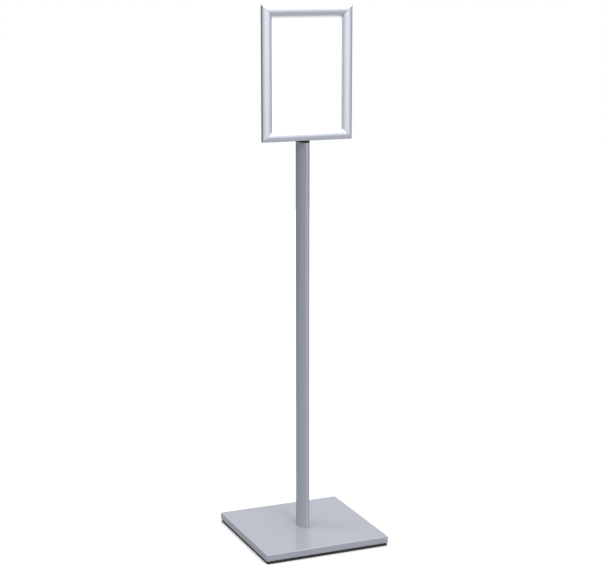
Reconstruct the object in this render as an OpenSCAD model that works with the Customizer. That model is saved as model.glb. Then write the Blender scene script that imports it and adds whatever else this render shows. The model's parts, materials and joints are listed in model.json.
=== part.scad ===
// Free-standing sign stand: a square weighted base, an oval post and a
// portrait poster frame whose four front rails hinge open to change the sheet.
// Millimetres, +Z up, -Y to the front, X across the frame.
// The origin is the centre of the footprint, on the floor.

/* [Base] */
// Side of the square base cover
base_side = 330; // [280:5:400]
// Height of the base cover, from its rim to its top
cover_h = 16.5; // [12:0.5:30]
// Height of the cover's rim above the floor
rim_z = 8.5; // [6:0.5:9.5]
// Sheet thickness of the base cover
cover_t = 1.5; // [1:0.1:1.9]
// Outside radius of the cover's bends and corners
cover_r = 2.5; // [2.25:0.25:6]
// How far the ballast plate stands back from the cover's side
ballast_inset = 2; // [2:0.5:20]
// Thickness of the ballast plate
ballast_t = 9; // [7:0.5:10]
// Height of the rubber feet
foot_h = 1; // [1:0.25:3]
// Radius of the rubber feet
foot_r = 12; // [6:1:20]

/* [Post] */
// Length of the post extrusion
post_len = 989.3; // [600:0.1:1500]
// Depth of the post, front to back
post_depth = 60; // [56:1:70]
// Width of the post, side to side
post_width = 30; // [28:0.5:34]
// Radius of the post's front and back edges
nose_r = 5; // [4:0.25:6]
// Wall thickness of the post
post_wall = 1.8; // [1.4:0.1:2.4]
// Distance of each screw port from the post's centre
port_y = 14; // [13:0.5:15]

/* [Frame] */
// Outside width of the frame
frame_w = 236; // [200:1:300]
// Outside height of the frame
frame_h = 326; // [280:1:420]
// Depth of the frame, back to crown
frame_d = 12.5; // [12:0.1:14]
// Distance of the frame's back in front of the post's centre
frame_back = 23; // [21:0.5:26]
// Gap between the post's top and the frame, which the bottom rail swings through
frame_gap = 5.7; // [5.5:0.1:8]
// Width of each rail
rail_w = 25; // [24:0.5:27]
// Height of the rails' shoulders above the frame's back
shoulder_w = 8.8; // [8:0.1:9.5]
// Wall thickness of the hinged rails
snap_t = 1.2; // [1:0.1:1.5]
// Gap between two hinged rails at a mitre
mitre_gap = 0.3; // [0.2:0.05:0.5]

/* [Sheets] */
// Width of the poster
sheet_w = 210; // [180:1:210]
// Height of the poster
sheet_h = 297; // [260:1:297]
// Thickness of the back panel
panel_t = 1.5; // [1:0.1:1.5]

/* [Hidden] */
$fn = 96;

// Heights of the stack, from the floor up
ballast_top = foot_h + ballast_t;
cover_top = rim_z + cover_h;
post_top = cover_top + post_len;
frame_bottom = post_top + frame_gap;
frame_mid = frame_bottom + frame_h / 2;

// Clearances
hole_slack = 0.25;
thread_slack = 0.05;
over = 1;

// Base details
ballast_side = base_side - 2 * ballast_inset;
core_side = base_side - 2 * cover_r;
foot_at = base_side / 2 - 30;
screw_at = base_side / 2 - 60;
bolt_r = 4;
bolt_head_r = 6.5;
bolt_head_h = 4;
bolt_hex_r = 2.9;
bolt_hex_h = 2.5;
bolt_len = 50;
washer_r = 7.5;
washer_t = 1.4;
counterbore_h = 6;
csk_r = 4;
csk_h = 2.2;
wood_screw_r = 2;
wood_screw_len = 15;

// Post section: two flank arcs joined by small nose arcs
flank_r = (pow(post_depth / 2 - nose_r, 2) + pow(post_width / 2, 2) - nose_r * nose_r)
    / (post_width - 2 * nose_r);
flank_x = flank_r - post_width / 2;
nose_y = post_depth / 2 - nose_r;
join_y = nose_y * flank_r / (flank_r - nose_r);
port_r = 6.2;
port_web_t = 1.8;
port_web_w = post_width - 8;
tapped_h = 45;

// Rail section: u runs inward from the frame's edge, w forward from its back
floor_t = 1.2;
floor_from = 0.2;
floor_to = 22;
back_mitre_gap = 0.1;
wall_top = 1.9;
hinge_u = 1.8;
hinge_w = 4.2;
bead_r = 0.9;
bead_slack = 0.08;
neck_t = 0.7;
socket_r = 1.7;
socket_from = -58;
socket_to = 151;
shell_to = 148;
hinge_back = 6;
end_wall_w = 6;
hinge_clear_r = 4;
channel_u = 4.9;
channel_w = 5.5;
channel_h = 4;
channel_wall = 0.7;
channel_lip_t = 0.6;
channel_lip_reach = 0.5;
pocket_u = 11.3;
lip_w = 3.9;
cam_u = 7.2;
cam_w = 4.7;
cam_t = 1;
dome_rise = frame_d - shoulder_w;
dome_r = (pow(rail_w / 2, 2) + pow(dome_rise, 2)) / (2 * dome_rise);
outer_fillet = 2.2;
inner_fillet = 1.6;
fillet_bite = 0.08;
channel_mid = channel_u + channel_w / 2;

// Parts inside the rails
bed_slack = 0.05;
key_w = 5.2;
key_t = 2;
key_leg = 30;
spring_len = 28;
spring_w = 4.2;
spring_foot_w = 5.2;
spring_foot_len = 4.5;
spring_t = 0.4;
spring_rise = 2.6;
spring_from_end = 51;
nut_bar_len = 100;
frame_screw_at = [-40, -15, 15, 40];
frame_screw_r = 1.5;
frame_screw_head_r = 2.9;
frame_screw_head_h = 1.8;
frame_screw_hex_r = 1.2;
frame_screw_hex_h = 1.2;

// Sheets
poster_t = 0.3;
cover_sheet_t = 0.6;
panel_slack = 0.4;
panel_w = frame_w - 2 * pocket_u - 2 * panel_slack;
panel_h = frame_h - 2 * pocket_u - 2 * panel_slack;
cover_sheet_w = sheet_w + 1;
cover_sheet_h = sheet_h + 3;

// Head bracket
bracket_t = 3;
bracket_w = 100;
bracket_h = 34;
gusset_x = 8.2;
gusset_t = 2.6;
gusset_back = 8;
gusset_low = 5;
gusset_top = 6;
head_screw_r = 3;
head_screw_head_r = 5.6;
head_screw_head_h = 3;
head_screw_hex_r = 2;
head_screw_hex_h = 1.8;
head_screw_len = 26;

silver = "silver";
paint = "lightsteelblue";
black = "dimgray";

// ---- helpers ----

// A square with round corners, extruded from z = 0
module rounded_plate(side, h, r) {
    linear_extrude(h) {
        square([side - 2 * r, side], center = true);
        square([side, side - 2 * r], center = true);
        for (x = [-1, 1], y = [-1, 1])
            translate([x * (side / 2 - r), y * (side / 2 - r)])
                circle(r);
    }
}

// The same with its top edges rolled to the corner radius
module rolled_slab(side, h, r) {
    flat = side - 2 * r;
    rounded_plate(side, h - r, r);
    translate([-flat / 2, -flat / 2, 0])
        cube([flat, flat, h]);
    for (a = [0 : 90 : 270])
        rotate([0, 0, a])
            translate([-flat / 2, flat / 2, h - r]) {
                rotate([0, 90, 0])
                    cylinder(r = r, h = flat);
                sphere(r);
            }
}

// Puts a child at both screw ports
module at_ports() {
    for (y = [-port_y, port_y])
        translate([0, y, 0])
            children();
}

// The post's outline, moved inward by an inset
module oval(inset = 0) {
    r = flank_r - inset;
    intersection() {
        translate([-flank_x, 0])
            circle(r, $fn = 256);
        translate([flank_x, 0])
            circle(r, $fn = 256);
        square([post_width, 2 * join_y - 2 * inset], center = true);
    }
    for (y = [-nose_y, nose_y])
        translate([0, y])
            circle(nose_r - inset);
}

// Puts a section drawn in u and w along the bottom rail, centred on X
module along_rail(len) {
    rotate([90, 0, 0])
        rotate([90, 0, 90])
            linear_extrude(len, center = true)
                children();
}

// Cuts a rail's ends to the mitre
module mitred(len, gap) {
    half = len / 2 - gap / sqrt(2);
    intersection() {
        children();
        translate([0, 1, 0])
            rotate([90, 0, 0])
                linear_extrude(frame_d + 2)
                    polygon([
                        [-half, 0], [half, 0],
                        [half - rail_w, rail_w], [rail_w - half, rail_w]
                    ]);
    }
}

// Places a rail, drawn as the bottom one, on one side of the frame.
// Turn 0 is the bottom, 90 the left, 180 the top and 270 the right.
module on_side(turn) {
    reach = (turn % 180 == 0) ? frame_h / 2 : frame_w / 2;
    translate([0, -frame_back, frame_mid])
        rotate([0, turn, 0])
            translate([0, 0, -reach])
                children();
}

function side_len(turn) = (turn % 180 == 0) ? frame_w : frame_h;

// Region under the dome of a hinged rail, moved inward by an inset
module dome_region(inset = 0) {
    intersection() {
        translate([inset, 0])
            square([rail_w - 2 * inset, frame_d]);
        translate([rail_w / 2, frame_d - dome_r])
            circle(dome_r - inset, $fn = 256);
    }
}

// What a fillet takes off the corner between a side and the dome. Its circle
// stands out of both by a hair, so that it crosses them instead of grazing them.
module dome_corner(fillet) {
    mid = rail_w / 2;
    low = frame_d - dome_r;
    cu = fillet - fillet_bite;
    cw = low + sqrt(pow(dome_r - fillet, 2) - pow(mid - fillet, 2)) + fillet_bite;
    reach = (dome_r + 2 * over) / (dome_r - fillet);
    difference() {
        polygon([
            [cu, cw], [-over, cw], [-over, frame_d + over],
            [mid + (cu - mid) * reach, low + (cw - low) * reach]
        ]);
        translate([cu, cw])
            circle(fillet);
    }
}

// Sector of a disc about the hinge, from one angle round to another
module hinge_sector(from, to, r) {
    steps = 8;
    polygon(concat([[hinge_u, hinge_w]], [
        for (i = [0 : steps])
            let (a = from + (to - from) * i / steps)
                [hinge_u + r * cos(a), hinge_w + r * sin(a)]
    ]));
}

// ---- rail sections ----

module back_section() {
    translate([floor_from, 0])
        square([floor_to - floor_from, floor_t]);
    // outer wall, neck and bead of the hinge
    translate([floor_from, 0])
        square([hinge_u + neck_t / 2 - floor_from, wall_top]);
    translate([hinge_u - neck_t / 2, 0])
        square([neck_t, hinge_w]);
    translate([hinge_u, hinge_w])
        circle(bead_r);
    // channel for the corner keys and springs, with its two lips
    translate([channel_u - channel_wall, 0])
        square([channel_wall, channel_h]);
    translate([channel_u + channel_w, 0])
        square([pocket_u - channel_u - channel_w, channel_h]);
    for (u = [channel_u, channel_u + channel_w])
        translate([u - channel_lip_reach, channel_h - channel_lip_t])
            square([2 * channel_lip_reach, channel_lip_t]);
}

module snap_shell_section() {
    difference() {
        dome_region();
        dome_corner(outer_fillet);
        translate([rail_w, 0])
            mirror([1, 0])
                dome_corner(inner_fillet);
        dome_region(snap_t);
        square([rail_w / 2, hinge_w]);
        translate([rail_w / 2, 0])
            square([rail_w / 2, lip_w]);
        hinge_sector(shell_to, 270, hinge_clear_r);
        translate([hinge_u, hinge_w])
            circle((bead_r + bead_slack + socket_r) / 2);
    }
    // rib that the springs press on
    difference() {
        translate([cam_u, cam_w])
            square([cam_t, frame_d - cam_w]);
        difference() {
            square([rail_w, frame_d]);
            dome_region(snap_t / 2);
        }
    }
}

module snap_socket_section() {
    difference() {
        translate([hinge_u, hinge_w])
            circle(socket_r);
        translate([hinge_u, hinge_w])
            circle(bead_r + bead_slack);
        hinge_sector(socket_to, 360 + socket_from, hinge_clear_r);
    }
}

module back_rail(turn) {
    on_side(turn)
        mitred(side_len(turn), back_mitre_gap)
            difference() {
                along_rail(side_len(turn))
                    back_section();
                if (turn == 0)
                    frame_screw_holes(frame_screw_r + hole_slack);
            }
}

// The socket and the foot of the outer wall stop short of the corners, so that
// two neighbouring rails can both be open
module snap_rail(turn) {
    len = side_len(turn);
    on_side(turn) {
        mitred(len, mitre_gap)
            difference() {
                along_rail(len)
                    snap_shell_section();
                for (s = [-1, 1])
                    translate([s * len / 2, 0, 0])
                        rotate([90, 0, 0])
                            linear_extrude(end_wall_w)
                                square([2 * hinge_back, rail_w], center = true);
            }
        along_rail(len - 2 * hinge_back)
            snap_socket_section();
    }
}

// Holes for the frame's screws, in the bottom rail's own place
module frame_screw_holes(r) {
    for (x = frame_screw_at)
        translate([x, bracket_t + over, channel_mid])
            rotate([90, 0, 0])
                cylinder(r = r, h = bracket_t + floor_t + key_t + 3 * over);
}

// ---- base ----

module base_cover() {
    color(paint)
        difference() {
            translate([0, 0, rim_z])
                rolled_slab(base_side, cover_h, cover_r);
            translate([0, 0, rim_z - over])
                rolled_slab(
                    base_side - 2 * cover_t,
                    cover_h + over - cover_t,
                    cover_r - cover_t
                );
            at_ports()
                cylinder(r = bolt_r + hole_slack, h = cover_top + over);
        }
}

module core_board() {
    color("burlywood")
        difference() {
            translate([0, 0, ballast_top])
                rounded_plate(core_side, cover_top - cover_t - ballast_top, cover_r);
            at_ports()
                cylinder(r = bolt_r + 2 * hole_slack, h = cover_top);
            at_screws()
                cylinder(r = wood_screw_r, h = foot_h + wood_screw_len);
        }
}

module at_screws() {
    for (x = [-screw_at, screw_at], y = [-screw_at, screw_at])
        translate([x, y, 0])
            children();
}

module ballast_plate() {
    color(black)
        difference() {
            translate([0, 0, foot_h])
                rounded_plate(ballast_side, ballast_t, cover_r);
            at_ports() {
                cylinder(r = bolt_r + hole_slack, h = ballast_top + over);
                cylinder(r = washer_r + 2 * hole_slack, h = foot_h + counterbore_h);
            }
            at_screws() {
                cylinder(r = wood_screw_r + hole_slack, h = ballast_top + over);
                translate([0, 0, foot_h])
                    cylinder(r1 = csk_r + hole_slack, r2 = wood_screw_r + hole_slack, h = csk_h);
            }
        }
}

module rubber_feet() {
    color("darkslategray")
        for (x = [-foot_at, foot_at], y = [-foot_at, foot_at])
            translate([x, y, 0])
                cylinder(r = foot_r, h = foot_h);
}

module ballast_screws() {
    color(silver)
        at_screws()
            translate([0, 0, foot_h]) {
                cylinder(r1 = csk_r, r2 = wood_screw_r, h = csk_h);
                cylinder(r = wood_screw_r, h = wood_screw_len);
            }
}

// ---- post ----

// One extrusion, its two screw ports drilled out at the foot for the bolts
module post() {
    color(silver)
        translate([0, 0, cover_top])
            difference() {
                linear_extrude(post_len)
                    post_section();
                at_ports()
                    translate([0, 0, -over])
                        cylinder(r = bolt_r + thread_slack, h = tapped_h + over);
            }
}

module post_section() {
    difference() {
        union() {
            difference() {
                oval();
                oval(post_wall);
            }
            at_ports() {
                circle(port_r);
                square([port_web_w, port_web_t], center = true);
            }
        }
        at_ports()
            circle(head_screw_r + thread_slack);
    }
}

module post_bolts() {
    head_top = foot_h + counterbore_h - washer_t;
    color(black)
        at_ports()
            difference() {
                union() {
                    translate([0, 0, head_top - bolt_head_h])
                        cylinder(r = bolt_head_r, h = bolt_head_h);
                    translate([0, 0, head_top - over])
                        cylinder(r = bolt_r, h = bolt_len + over);
                }
                cylinder(r = bolt_hex_r, h = head_top - bolt_head_h + bolt_hex_h, $fn = 6);
            }
}

module post_washers() {
    color(silver)
        at_ports()
            translate([0, 0, foot_h + counterbore_h - washer_t])
                difference() {
                    cylinder(r = washer_r, h = washer_t);
                    translate([0, 0, -over])
                        cylinder(r = bolt_r + hole_slack, h = washer_t + 2 * over);
                }
}

// ---- head of the post ----

module head_bracket() {
    color(black)
        difference() {
            union() {
                translate([0, 0, post_top])
                    linear_extrude(frame_gap)
                        intersection() {
                            oval();
                            translate([-post_width, -frame_back])
                                square([2 * post_width, post_depth]);
                        }
                translate([-bracket_w / 2, -frame_back, frame_bottom])
                    cube([bracket_w, bracket_t, bracket_h]);
                for (x = [-gusset_x, gusset_x])
                    translate([x - gusset_t / 2, 0, frame_bottom])
                        gusset();
            }
            at_ports() {
                translate([0, 0, post_top - over])
                    cylinder(r = head_screw_r + hole_slack, h = frame_gap + 2 * over);
                translate([0, 0, frame_bottom - head_screw_head_h])
                    cylinder(
                        r1 = head_screw_r + hole_slack,
                        r2 = head_screw_head_r + hole_slack,
                        h = head_screw_head_h
                    );
            }
            translate([0, -frame_back, frame_bottom])
                frame_screw_holes(frame_screw_r + hole_slack);
        }
}

// Triangular flange behind the bracket's upright, from x = 0
module gusset() {
    front = bracket_t - frame_back;
    rotate([90, 0, 90])
        linear_extrude(gusset_t)
            polygon([
                [front, 0], [gusset_back, 0], [gusset_back, gusset_low],
                [front + gusset_top, bracket_h], [front, bracket_h]
            ]);
}

module head_screws() {
    color(silver)
        at_ports()
            difference() {
                union() {
                    translate([0, 0, frame_bottom - head_screw_head_h])
                        cylinder(
                            r1 = head_screw_r,
                            r2 = head_screw_head_r,
                            h = head_screw_head_h
                        );
                    translate([0, 0, frame_bottom - head_screw_len])
                        cylinder(r = head_screw_r, h = head_screw_len - over);
                }
                translate([0, 0, frame_bottom - head_screw_hex_h])
                    cylinder(r = head_screw_hex_r, h = head_screw_hex_h + over, $fn = 6);
            }
}

module frame_screws() {
    shank = bracket_t + floor_t + key_t + over;
    color(silver)
        translate([0, bracket_t - frame_back, frame_bottom + channel_mid])
            for (x = frame_screw_at)
                translate([x, 0, 0])
                    rotate([90, 0, 0])
                        difference() {
                            union() {
                                translate([0, 0, -frame_screw_head_h])
                                    cylinder(r = frame_screw_head_r, h = frame_screw_head_h);
                                cylinder(r = frame_screw_r, h = shank);
                            }
                            translate([0, 0, -frame_screw_head_h - over])
                                cylinder(
                                    r = frame_screw_hex_r,
                                    h = frame_screw_hex_h + over,
                                    $fn = 6
                                );
                        }
}

module nut_bar() {
    color(black)
        difference() {
            translate([
                -nut_bar_len / 2,
                -frame_back - floor_t - key_t - bed_slack,
                frame_bottom + channel_mid - key_w / 2
            ])
                cube([nut_bar_len, key_t, key_w]);
            translate([0, -frame_back, frame_bottom])
                frame_screw_holes(frame_screw_r + thread_slack);
        }
}

// ---- frame ----

module back_rail_bottom() { color("gainsboro") back_rail(0); }
module back_rail_left() { color("gainsboro") back_rail(90); }
module back_rail_top() { color("gainsboro") back_rail(180); }
module back_rail_right() { color("gainsboro") back_rail(270); }

// Flat angle pieces that tie two back rails together
module corner_keys() {
    x = frame_w / 2 - channel_mid;
    z = frame_h / 2 - channel_mid;
    color(black)
        for (sx = [-1, 1], sz = [-1, 1])
            translate([sx * x, -frame_back - floor_t - bed_slack, frame_mid + sz * z])
                rotate([90, 0, 0])
                    linear_extrude(key_t)
                        for (leg = [[-sx, 0], [0, -sz]])
                            key_leg_2d(leg);
}

// One leg of a key, from the crossing of the two channels
module key_leg_2d(dir) {
    translate([
        dir[0] * key_leg / 2 - dir[0] * key_w / 2,
        dir[1] * key_leg / 2 - dir[1] * key_w / 2
    ])
        square([
            abs(dir[0]) * key_leg + abs(dir[1]) * key_w,
            abs(dir[1]) * key_leg + abs(dir[0]) * key_w
        ], center = true);
}

// Bowed steel strips in the channels, under the hinged rails' ribs
module leaf_springs() {
    color("slategray")
        for (turn = [0 : 90 : 270], s = [-1, 1])
            on_side(turn)
                translate([
                    s * (side_len(turn) / 2 - spring_from_end),
                    -floor_t - bed_slack,
                    channel_mid
                ])
                    leaf_spring();
}

// One strip with its bow to the front, between the channel's lips, and its
// wider feet under them. Its ends rest on y = 0.
module leaf_spring() {
    half = spring_len / 2;
    r = (half * half + spring_rise * spring_rise) / (2 * spring_rise);
    seat = sqrt(pow(r - spring_t, 2) - half * half);
    intersection() {
        translate([0, seat, -spring_foot_w / 2])
            difference() {
                cylinder(r = r, h = spring_foot_w, $fn = 256);
                translate([0, 0, -over])
                    cylinder(r = r - spring_t, h = spring_foot_w + 2 * over, $fn = 256);
            }
        translate([0, over, 0])
            rotate([90, 0, 0])
                linear_extrude(spring_rise + 3 * over)
                    spring_outline();
    }
}

module spring_outline() {
    square([spring_len, spring_w], center = true);
    for (s = [-1, 1])
        translate([s * (spring_len - spring_foot_len) / 2, 0])
            square([spring_foot_len, spring_foot_w + over], center = true);
}

// A flat sheet centred in the frame, from a depth in front of its back
module sheet(w, h, depth, t) {
    translate([-w / 2, -frame_back - depth - t, frame_mid - h / 2])
        cube([w, t, h]);
}

module back_panel() {
    color("whitesmoke")
        sheet(panel_w, panel_h, floor_t, panel_t);
}

module poster_sheet() {
    color("white")
        sheet(sheet_w, sheet_h, floor_t + panel_t, poster_t);
}

module cover_sheet() {
    color("aliceblue", 0.3)
        sheet(cover_sheet_w, cover_sheet_h, floor_t + panel_t + poster_t, cover_sheet_t);
}

module snap_rail_bottom() { color(silver) snap_rail(0); }
module snap_rail_left() { color(silver) snap_rail(90); }
module snap_rail_top() { color(silver) snap_rail(180); }
module snap_rail_right() { color(silver) snap_rail(270); }

base_cover();
core_board();
ballast_plate();
rubber_feet();
ballast_screws();
post();
post_bolts();
post_washers();
head_bracket();
head_screws();
frame_screws();
nut_bar();
back_rail_bottom();
back_rail_top();
back_rail_left();
back_rail_right();
corner_keys();
leaf_springs();
back_panel();
poster_sheet();
cover_sheet();
snap_rail_bottom();
snap_rail_top();
snap_rail_left();
snap_rail_right();
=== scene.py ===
import json
import math

import bmesh
import bpy
import numpy as np
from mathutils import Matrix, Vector


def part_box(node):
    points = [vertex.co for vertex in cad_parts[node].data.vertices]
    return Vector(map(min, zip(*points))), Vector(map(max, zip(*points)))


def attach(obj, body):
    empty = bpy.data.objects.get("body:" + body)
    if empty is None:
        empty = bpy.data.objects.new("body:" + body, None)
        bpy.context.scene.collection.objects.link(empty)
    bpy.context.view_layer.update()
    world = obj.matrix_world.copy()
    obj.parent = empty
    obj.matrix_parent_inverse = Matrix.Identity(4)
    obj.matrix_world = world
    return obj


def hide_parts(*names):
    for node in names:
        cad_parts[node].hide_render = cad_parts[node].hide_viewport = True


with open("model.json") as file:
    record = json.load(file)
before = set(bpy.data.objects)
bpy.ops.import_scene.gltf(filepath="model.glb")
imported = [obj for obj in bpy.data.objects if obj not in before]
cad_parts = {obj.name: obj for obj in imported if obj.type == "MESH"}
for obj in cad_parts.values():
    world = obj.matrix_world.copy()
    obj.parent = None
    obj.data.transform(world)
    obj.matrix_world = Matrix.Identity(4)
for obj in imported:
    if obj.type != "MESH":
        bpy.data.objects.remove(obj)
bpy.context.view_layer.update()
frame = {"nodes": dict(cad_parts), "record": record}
mm = 0.001
print("frame loaded:", len(frame["nodes"]), "nodes")


def arc(centre, radius, fromDeg, toDeg, steps):
    # points at equal angles on a circle
    a = np.radians(np.linspace(fromDeg, toDeg, steps + 1))
    return np.stack([centre[0] + radius * np.cos(a), centre[1] + radius * np.sin(a)], 1)


def softened(corners, cut, steps=3):
    # each corner of a closed outline becomes a parabola from one side to the next:
    # (1-t)^2 A + 2t(1-t) P + t^2 B, where A and B lie cut away from the corner P
    p = np.asarray(corners, float)
    cut = np.broadcast_to(np.asarray(cut, float), (len(p),))[:, None]
    mostOfSide = 0.45
    before, after = np.roll(p, 1, 0) - p, np.roll(p, -1, 0) - p
    lengthBefore = np.linalg.norm(before, axis=1, keepdims=True)
    lengthAfter = np.linalg.norm(after, axis=1, keepdims=True)
    a = p + before / lengthBefore * np.minimum(cut, mostOfSide * lengthBefore)
    b = p + after / lengthAfter * np.minimum(cut, mostOfSide * lengthAfter)
    t = np.linspace(0, 1, steps + 1)[None, :, None]
    curve = (1 - t) ** 2 * a[:, None] + 2 * t * (1 - t) * p[:, None] + t ** 2 * b[:, None]
    return curve.reshape(-1, 2)


def roundedBox(halfX, halfY, radius, cornerSteps=8, sideSteps=10):
    # a rectangle with round corners; the same counts give rings that match point for point
    corners = []
    for k, (sx, sy) in enumerate(((1, 1), (-1, 1), (-1, -1), (1, -1))):
        centre = (sx * (halfX - radius), sy * (halfY - radius))
        corners.append(arc(centre, radius, 90 * k, 90 * k + 90, cornerSteps))
    parts = []
    for corner, following in zip(corners, corners[1:] + corners[:1]):
        parts += [corner, np.linspace(corner[-1], following[0], sideSteps + 1)[1:-1]]
    return np.concatenate(parts)


def atHeight(outline, z):
    return np.column_stack([outline, np.full(len(outline), z)])


def indexQuads(rings):
    # quads between rings given as rows of vertex numbers, closed round each ring
    a, b = np.asarray(rings[:-1]), np.asarray(rings[1:])
    quads = np.stack([a, np.roll(a, -1, 1), np.roll(b, -1, 1), b], -1)
    return quads.reshape(-1, 4).tolist()


def gridQuads(rows, cols):
    # the same for a grid stored row by row
    return indexQuads(np.arange(rows * cols).reshape(rows, cols))


def capped(rings):
    # a grid of closed rings with a flat face over its first and last ring
    rings = np.asarray(rings, float)
    rows, cols = rings.shape[:2]
    ends = [list(range(cols))[::-1], list(range((rows - 1) * cols, rows * cols))]
    return rings.reshape(-1, 3), gridQuads(rows, cols) + ends


def poled(rings, firstPole, lastPole):
    # the same, but drawn together to one point at each end
    rings = np.asarray(rings, float)
    rows, cols = rings.shape[:2]
    faces = gridQuads(rows, cols)
    first = np.arange(cols)
    last = first + (rows - 1) * cols
    pole = np.full(cols, rows * cols)
    faces += np.stack([pole, np.roll(first, -1), first], 1).tolist()
    faces += np.stack([last, np.roll(last, -1), pole + 1], 1).tolist()
    return np.concatenate([rings.reshape(-1, 3), [firstPole, lastPole]]), faces


def several(parts):
    # closed shapes put into one mesh
    verts, faces, start = [], [], 0
    for v, f in parts:
        verts.append(v)
        faces += [[i + start for i in face] for face in f]
        start += len(v)
    return np.concatenate(verts), faces


def copiesAt(shape, places):
    v, f = shape
    return several([(v + np.asarray(p, float), f) for p in places])


def slab(outline, low, high, edge, edgeSteps=3):
    # a flat plate from an outline ring: its edges are quarter rounds, made by drawing
    # the ring in towards the middle by edge * (1 - sin) as it rises by edge * (1 - cos)
    outline = np.asarray(outline, float)
    centre = (outline.max(0) + outline.min(0)) / 2
    half = (outline.max(0) - outline.min(0)) / 2
    t = np.linspace(0, math.pi / 2, edgeSteps + 1)
    inset = edge * (1 - np.sin(np.append(t, t[::-1])))
    rise = np.append(low + edge * (1 - np.cos(t)), high - edge * (1 - np.cos(t[::-1])))
    shrink = 1 - inset[:, None] / half[None, :]
    rings = centre + (outline - centre)[None] * shrink[:, None, :]
    height = np.broadcast_to(rise[:, None, None], rings.shape[:2] + (1,))
    return np.concatenate([rings, height], 2)


def turned(profile, steps=48, hexRings=()):
    # a lathe form about Z from (radius, height) pairs; the rings listed are pulled to
    # a hexagon: r = apothem / cos(angle folded into one side)
    profile = np.asarray(profile, float)
    a = np.linspace(0, 2 * math.pi, steps, endpoint=False)
    r = np.repeat(profile[:, :1], steps, 1)
    oneSide = math.pi / 3
    r[list(hexRings)] *= 1 / np.cos(a % oneSide - oneSide / 2)
    z = np.repeat(profile[:, 1:], steps, 1)
    return np.stack([r * np.cos(a), r * np.sin(a), z], -1)


def facing(verts, axis):
    # turns a form that stands on Z so that its top points along +Y, or down
    x, y, z = verts.T
    return np.stack([x, z, -y] if axis == "+Y" else [x, -y, -z], 1)


def newObject(name, data):
    made = bpy.data.objects.new(name, data)
    bpy.context.scene.collection.objects.link(made)
    return made


def newPiece(name, shape, material, slotName, replaced=(), body="stand", bevel=0.0, angle=38):
    # a piece from millimetre points. A bevel rounds the edges sharper than the angle;
    # without one, they are only shaded as sharp.
    verts, faces = shape
    mesh = bpy.data.meshes.new(name)
    mesh.from_pydata((np.asarray(verts, float) * mm).tolist(), [], faces)
    mesh.update()
    piece = newObject(name, mesh)
    work = bmesh.new()
    work.from_mesh(mesh)
    bmesh.ops.remove_doubles(work, verts=work.verts, dist=1e-7)
    bmesh.ops.recalc_face_normals(work, faces=work.faces)
    work.to_mesh(mesh)
    work.free()
    mesh.polygons.foreach_set("use_smooth", np.full(len(mesh.polygons), True))
    if bevel:
        cut = piece.modifiers.new("edges", "BEVEL")
        cut.width = bevel * mm
        cut.segments = 2
        cut.limit_method = "ANGLE"
        cut.angle_limit = math.radians(angle)
        cut.harden_normals = True
        cut.use_clamp_overlap = True
    else:
        mesh.set_sharp_from_angle(angle=math.radians(angle))
    mesh.materials.append(material)
    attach(piece, body)
    if replaced:
        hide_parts(*replaced)


def plug(tree, value, socket):
    # a socket takes a link or a plain value
    if isinstance(value, bpy.types.NodeSocket):
        tree.links.new(value, socket)
    else:
        socket.default_value = value


def addNode(tree, kind, **values):
    n = tree.nodes.new(kind)
    for key, value in values.items():
        plug(tree, value, n.inputs[key.replace("_", " ")])
    return n


def mathNode(tree, operation, a, b, clamp=False):
    n = tree.nodes.new("ShaderNodeMath")
    n.operation = operation
    n.use_clamp = clamp
    plug(tree, a, n.inputs[0])
    plug(tree, b, n.inputs[1])
    return n.outputs[0]


def scaled(tree, value, by, plus):
    out = mathNode(tree, "MULTIPLY_ADD", value, by)
    out.node.inputs[2].default_value = plus
    return out


def noise(tree, vector, scale, detail, roughness=0.5):
    return addNode(tree, "ShaderNodeTexNoise", Vector=vector, Scale=scale, Detail=detail,
                   Roughness=roughness).outputs["Fac"]


def ranged(tree, value, low, high, fromLow=0.0, fromHigh=1.0):
    return addNode(tree, "ShaderNodeMapRange", Value=value, From_Min=fromLow,
                   From_Max=fromHigh, To_Min=low, To_Max=high).outputs[0]


def squeezed(tree, vector, scale):
    return addNode(tree, "ShaderNodeMapping", Vector=vector, Scale=scale).outputs[0]


def channel(tree, colour, index):
    return addNode(tree, "ShaderNodeSeparateColor", Color=colour).outputs[index]


def upward(tree, vector):
    return addNode(tree, "ShaderNodeSeparateXYZ", Vector=vector).outputs["Z"]


def mixed(tree, factor, a, b):
    n = tree.nodes.new("ShaderNodeMix")
    n.data_type = "RGBA"
    tree.links.new(factor, n.inputs[0])
    for i, value in ((6, a), (7, b)):
        plug(tree, value + (1.0,) if isinstance(value, tuple) else value, n.inputs[i])
    return n.outputs[2]


def eitherShader(tree, factor, first, second, out):
    n = tree.nodes.new("ShaderNodeMixShader")
    for i, value in enumerate((factor, first.outputs[0], second.outputs[0])):
        tree.links.new(value, n.inputs[i])
    tree.links.new(n.outputs[0], out.inputs["Surface"])


def newGroup(name, inputs, outputs):
    # inputs by name and starting value, None for a vector; outputs are numbers
    group = bpy.data.node_groups.new(name, "ShaderNodeTree")
    for socketName, value in inputs.items():
        kind = "NodeSocketVector" if value is None else "NodeSocketFloat"
        socket = group.interface.new_socket(socketName, in_out="INPUT", socket_type=kind)
        if value is not None:
            socket.default_value = value
    for socketName in outputs:
        group.interface.new_socket(socketName, in_out="OUTPUT", socket_type="NodeSocketFloat")
    inside = group.nodes.new("NodeGroupInput")
    return group, inside.outputs, group.nodes.new("NodeGroupOutput").inputs


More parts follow.
